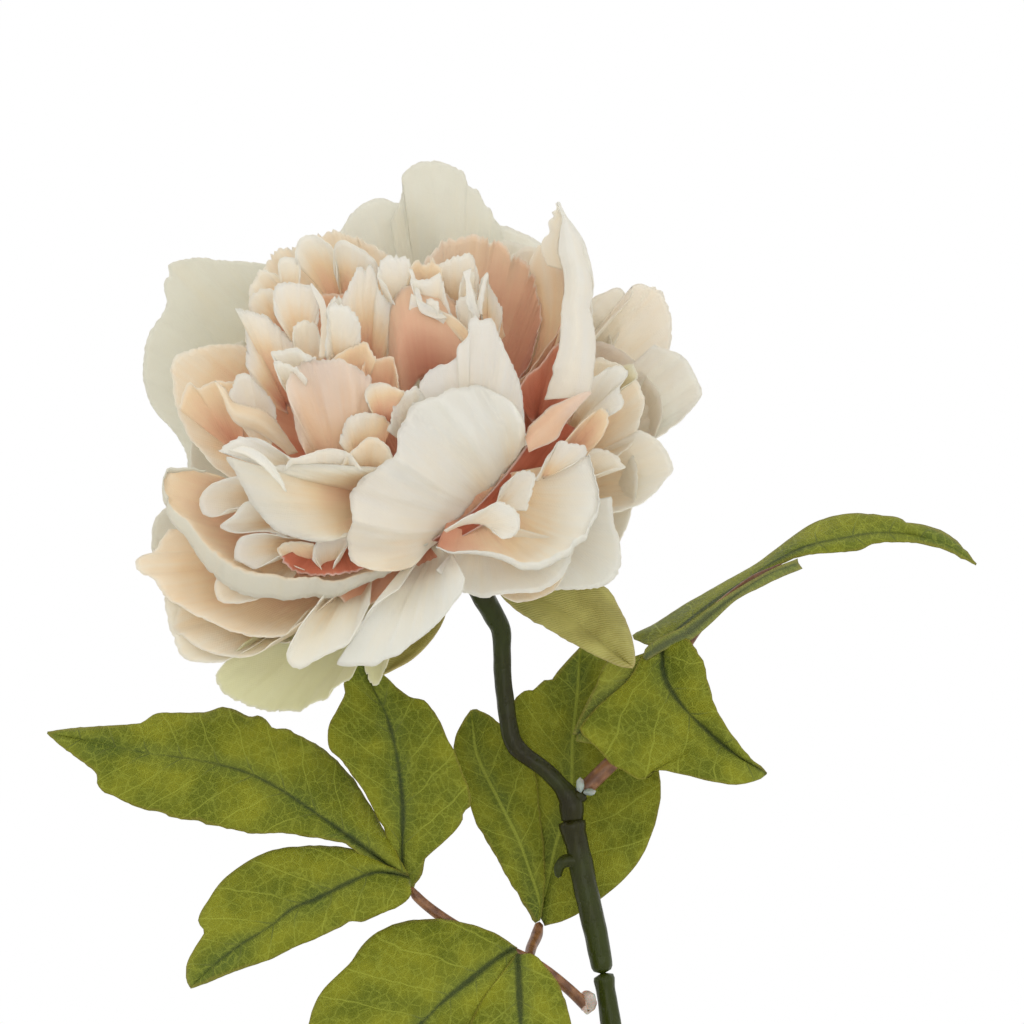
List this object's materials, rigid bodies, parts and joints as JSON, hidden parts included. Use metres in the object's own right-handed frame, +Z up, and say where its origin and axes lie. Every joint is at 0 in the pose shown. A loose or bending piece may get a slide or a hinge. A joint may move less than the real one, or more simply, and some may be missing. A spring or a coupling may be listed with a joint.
{
  "type": "artificial peony in a bud vase",
  "caption": "Single stem of an artificial peony with cloth petals and leaves, standing in a bottle-shaped ceramic bud vase.",
  "frame": {"origin": "centre of the vase's foot, on the surface it stands on", "axes": "+Z up, the bloom leans towards -Y and -X, +X to the right of the pictured view"},
  "size_m": [0.2047, 0.1084, 0.3808],
  "materials": {
    "petals": "finely woven cloth, peach fading to ivory",
    "leaves": "printed woven cloth, olive green with veins",
    "calyx": "woven cloth, olive",
    "stem": "moulded, satin",
    "stalks": "moulded, satin",
    "glue": "set hot glue",
    "vase": "gloss glaze, off-white"
  },
  "bodies": {
    "root": {"vase": "vase", "stem_upper": "stem", "stem_middle": "stem", "stem_lower": "stem", "stalk_right": "stalks", "stalk_spray": "stalks", "leaf_left": "leaves", "leaf_back": "leaves", "leaf_front": "leaves", "leaf_right": "leaves", "glue": "glue", "calyx": "calyx", "bloom": "petals"}
  },
  "joints": []
}
